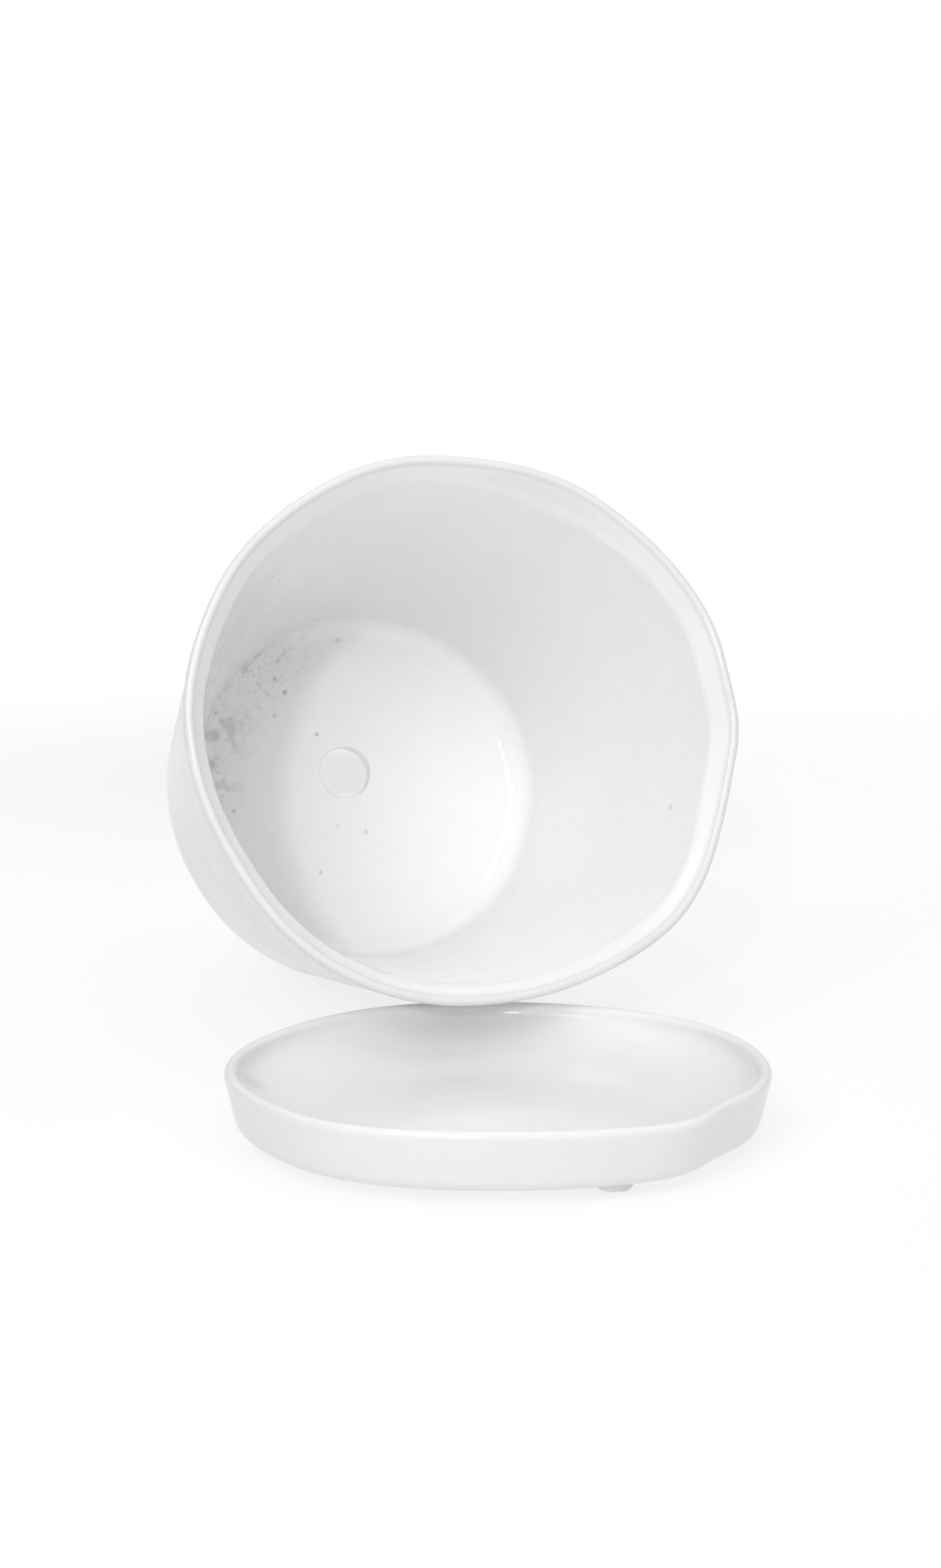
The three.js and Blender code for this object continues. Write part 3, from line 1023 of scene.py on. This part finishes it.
# %% Make the saucer
SAUCER_DENTS = [
    (-128, 1.4 * MM, 14),
    (-90, -1.9 * MM, 16),
    (-51, 2.2 * MM, 11),
    (-34, -1.4 * MM, 9),
    (38, 1.4 * MM, 20),
    (114, 1.4 * MM, 14),
    (148, -1.3 * MM, 16),
]
SAUCER_RIM_WAVES = [
    (-92, 0.35 * MM, 18),
    (-52, -0.4 * MM, 12),
    (140, 0.3 * MM, 16),
]
saucer_tree = hand_turned_tree(
    "hand-turned saucer", SAUCER_DENTS, SAUCER_RIM_WAVES, [], lambda z, height: z / height
)
saucer = take_mesh(
    "saucer_fine",
    section_mesh("saucer section", saucer_section()),
    saucer_tree,
    {
        "Wall height": SAUCER_HEIGHT,
        "Base radius": saucer_wall.low,
        "Rim radius": saucer_wall.high,
        "Dent share at base": 0.85,
        "Rim wave starts at": SAUCER_FLOOR,
        "Hole radius": 0.001,
        "Hole off centre": 0.0,
        "Hole direction": 0.0,
        "Slide ends at": 0.002,
        "Finger marks": 0.0005,
        "Finger mark size": 0.02,
        "Glaze": saucer_glaze,
    },
    saucer_place,
)
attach(saucer, "saucer")
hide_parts("saucer")

# %% [markdown]
# ## Stick-on feet
#
# Three small clear rubber bumpers keep the saucer off the table. They are the same piece three times, so one
# button is turned from its section, and Geometry Nodes puts a copy at each of three points on a circle.

# %% Rubber material
CLEAR_RUBBER = (0.90, 0.91, 0.90, 1)
DUSTY_RUBBER = (0.82, 0.83, 0.82, 1)
DUST_SIZE = 1 / 600
DUST_HEIGHT = 0.2 * MM

rubber, rubber_tree = new_material("clear rubber")
rubber_place = add_node(rubber_tree, "ShaderNodeTexCoord", {}, {}, "Object")
dust = noise(rubber_tree, rubber_place, DUST_SIZE, 3.0)
dusty = dust.smooth_step(0.4, 0.7)
dust_height = {"Strength": 0.2, "Distance": DUST_HEIGHT, "Height": dust}
rubber_finish = {
    "Base Color": mix_colours(rubber_tree, dusty, CLEAR_RUBBER, DUSTY_RUBBER),
    "Roughness": 0.3 + dust * 0.2,
    "Normal": add_node(rubber_tree, "ShaderNodeBump", {}, dust_height),
    "IOR": 1.45,
    "Transmission Weight": 0.25,
}
rubber_shader = add_node(rubber_tree, "ShaderNodeBsdfPrincipled", {}, rubber_finish)
add_node(rubber_tree, "ShaderNodeOutputMaterial", {}, {"Surface": rubber_shader})
print("clear rubber", len(rubber_tree.nodes), "nodes")

# %% The button of one foot
FOOT_NODES = ["foot_front_right", "foot_back_right", "foot_left"]
FOOT_SOLE_RADIUS = 4.1 * MM
FOOT_EDGE = 0.5 * MM
FOOT_EDGE_ENDS = -0.3
BUTTON_STEPS = 48

foot_corners = [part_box(node) for node in FOOT_NODES]
foot_centres = [(low + high) / 2 for low, high in foot_corners]
foot_height = foot_corners[0][1].z
foot_radius = (foot_corners[0][1].x - foot_corners[0][0].x) / 2


def foot_points():
    """The section of a foot, from the middle of its sole to the middle of its flat top."""
    edge_centre = (FOOT_SOLE_RADIUS - FOOT_EDGE, FOOT_EDGE)
    return [
        (0, 0),
        (FOOT_SOLE_RADIUS / 2, 0),
        *arc(edge_centre, FOOT_EDGE, -math.pi / 2, FOOT_EDGE_ENDS, 6),
        (foot_radius, foot_height),
        (foot_radius / 2, foot_height),
        (0, foot_height),
    ]


button = bmesh.new()
button_chain = [button.verts.new((x, 0, z)) for x, z in foot_points()]
button_edges = [button.edges.new(pair) for pair in zip(button_chain, button_chain[1:])]
bmesh.ops.spin(
    button,
    geom=button_chain + button_edges,
    cent=(0, 0, 0),
    axis=(0, 0, 1),
    angle=2 * math.pi,
    steps=BUTTON_STEPS,
    use_duplicate=False,
)
bmesh.ops.remove_doubles(button, verts=button.verts[:], dist=0.001 * MM)
bmesh.ops.recalc_face_normals(button, faces=button.faces[:])
button_mesh = bpy.data.meshes.new("foot button")
button.to_mesh(button_mesh)
button.free()
print("one foot has", len(button_mesh.polygons), "faces and is", round(foot_height / MM, 1), "mm high")


# %% Put three feet on a circle
def feet_tree():
    """The tree: one button in, a copy of it at each point of a circle out."""
    tree = bpy.data.node_groups.new("feet on a circle", "GeometryNodeTree")
    add_input(tree, "Section", "NodeSocketGeometry")
    add_input(tree, "Feet", "NodeSocketInt", len(FOOT_NODES))
    add_input(tree, "Distance from centre", "NodeSocketFloat")
    add_input(tree, "First direction", "NodeSocketFloat")
    add_input(tree, "Rubber", "NodeSocketMaterial")
    tree.interface.new_socket("Piece", in_out="OUTPUT", socket_type="NodeSocketGeometry")
    entry = add_node(tree, "NodeGroupInput")
    circle = {"Vertices": entry.output("Feet"), "Radius": entry.output("Distance from centre")}
    ring = add_node(tree, "GeometryNodeMeshCircle", {"fill_type": "NONE"}, circle)
    turn = add_node(tree, "ShaderNodeCombineXYZ", {}, {"Z": entry.output("First direction")})
    ring = add_node(tree, "GeometryNodeTransform", {}, {"Geometry": ring, "Rotation": turn})
    copies = {"Points": ring, "Instance": entry.output("Section")}
    placed = add_node(tree, "GeometryNodeInstanceOnPoints", {}, copies)
    finish_tree(tree, placed, entry.output("Rubber"))
    return tree


saucer_centre = Vector((saucer_mount["pos_m"][0], saucer_mount["pos_m"][1], 0))
first_foot = foot_centres[0] - saucer_centre
feet = take_mesh(
    "bumper_feet",
    button_mesh,
    feet_tree(),
    {
        "Feet": len(FOOT_NODES),
        "Distance from centre": first_foot.xy.length,
        "First direction": math.atan2(first_foot.y, first_foot.x),
        "Rubber": rubber,
    },
    Matrix.Translation(saucer_centre),
)
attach(feet, "saucer")
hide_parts(*FOOT_NODES)

# %% [markdown]
# ## Table
#
# A white table under white pottery would show a grey horizon, because its far side gets less light.
# A photographer's light table solves that: its paper glows, and the glow hides the horizon and most of the
# shadows. Behind the pot, in a round place that the drain hole looks out on, a painted shadow is put on the
# paper: it glows less there and its colour is darker, so that the hole stays a little darker than the wall
# of the studio.

# %% Table
TABLE_RADIUS = 9.0
PAINTED_SHADOW_PLACE = (-0.046, 0.5, 0)
PAINTED_SHADOW_PAPER = (0.76, 0.75, 0.755, 1)
WHITE_PAPER = (0.93, 0.93, 0.93, 1)
GLOW_ON_THINGS = 0.85
GLOW_SEEN = 1.0

table_mesh = bpy.data.meshes.new("table")
table_shape = bmesh.new()
bmesh.ops.create_circle(table_shape, cap_ends=True, radius=TABLE_RADIUS, segments=96)
table_shape.to_mesh(table_mesh)
table_shape.free()
table = bpy.data.objects.new("table", table_mesh)
scene.collection.objects.link(table)
print("table", round(2 * TABLE_RADIUS), "m across")

# %% The light table's paper
paper, paper_tree = new_material("white light table")
table_place = add_node(paper_tree, "ShaderNodeTexCoord", {}, {}, "Object")


def distance_from(place):
    """How far each point of the table is from a place on it."""
    ends = {0: table_place, 1: place}
    return add_node(paper_tree, "ShaderNodeVectorMath", {"operation": "DISTANCE"}, ends, "Value")


from_middle, from_painted_shadow = distance_from((0, 0, 0)), distance_from(PAINTED_SHADOW_PLACE)
# Painted shadow: round the place behind the pot the paper glows less, and its colour is darker.
glow = from_painted_shadow.smooth_step(0.04, 0.3, 0.1, 0.7) + from_middle.smooth_step(0.3, 0.9, 0.0, 0.3)
paper_colour = mix_colours(paper_tree, from_painted_shadow.smooth_step(0.04, 0.09), PAINTED_SHADOW_PAPER, WHITE_PAPER)
matt = add_node(paper_tree, "ShaderNodeBsdfDiffuse", {}, {"Color": paper_colour, "Roughness": 0.5})
lamp = add_node(paper_tree, "ShaderNodeEmission", {}, {"Strength": GLOW_ON_THINGS})
lamp_seen = add_node(paper_tree, "ShaderNodeEmission", {}, {"Strength": GLOW_SEEN})
seen_directly = add_node(paper_tree, "ShaderNodeLightPath", {}, {}, "Is Camera Ray")
lamps = add_node(paper_tree, "ShaderNodeMixShader", {}, {0: seen_directly, 1: lamp, 2: lamp_seen})
paper_shader = add_node(paper_tree, "ShaderNodeMixShader", {}, {0: glow, 1: matt, 2: lamps})
add_node(paper_tree, "ShaderNodeOutputMaterial", {}, {"Surface": paper_shader})
table_mesh.materials.append(paper)
print("light table", len(paper_tree.nodes), "nodes")

# %% [markdown]
# ## Light
#
# The world is a soft white room: brightest overhead, nearly as bright in front, weaker behind and on
# the right, and the camera sees it as a plain white wall. A large panel, high on the left, shapes the
# forms. The deep pot would stay dark inside, so a narrow soft beam reaches into its mouth.

# %% World
CEILING = 1.23
BACK = 0.6
FRONT = 1.06
RIGHT = 0.3


def lobe(side, strength):
    """Soft light from one side of the room, which fades out towards the others."""
    facing = side.larger(0.0)
    return facing * facing * strength


world = bpy.data.worlds.new("studio")
scene.world = world
world.use_nodes = True
sky = world.node_tree
sky.nodes.clear()
way = add_node(sky, "ShaderNodeTexCoord", {}, {}, "Generated")
sides = add_node(sky, "ShaderNodeSeparateXYZ", {}, {0: way})
right, back, up = sides.output("X"), sides.output("Y"), sides.output("Z")
soft_light = lobe(up, CEILING) + lobe(back, BACK) + lobe(back * -1, FRONT) + lobe(right, RIGHT)
seen = add_node(sky, "ShaderNodeLightPath", {}, {}, "Is Camera Ray")
strength = soft_light * (1 - seen) + seen
background = add_node(sky, "ShaderNodeBackground", {}, {"Color": (1, 1, 1, 1), "Strength": strength})
add_node(sky, "ShaderNodeOutputWorld", {}, {"Surface": background})
print("the room's light has", len(sky.nodes), "nodes")

# %% Lights
PANEL_PLACE = (-0.5, -1.1, 0.9)
PANEL_TARGET = (0, 0, 0.06)
PANEL_SIZE = 0.7
PANEL_WATTS = 4.5
BEAM_PLACE = (-0.15, -1.2, 0.5)
BEAM_SPREAD = math.radians(8.5)
BEAM_SOFTNESS = 0.08
BEAM_WATTS = 28


def aim(name, data, place, target):
    """Hangs a light at a place and turns it to face a target."""
    light = bpy.data.objects.new(name, data)
    light.location = place
    light.rotation_euler = (Vector(target) - Vector(place)).to_track_quat("-Z", "Y").to_euler()
    scene.collection.objects.link(light)


panel_data = bpy.data.lights.new("high left panel", "AREA")
panel_data.size = PANEL_SIZE
panel_data.energy = PANEL_WATTS
aim("high left panel", panel_data, PANEL_PLACE, PANEL_TARGET)

beam_data = bpy.data.lights.new("mouth beam", "SPOT")
beam_data.spot_size = BEAM_SPREAD
beam_data.spot_blend = 1.0
beam_data.shadow_soft_size = BEAM_SOFTNESS
beam_data.energy = BEAM_WATTS
mouth_centre = pot_place @ Vector((0, 0, POT_HEIGHT))
aim("mouth beam", beam_data, BEAM_PLACE, mouth_centre)
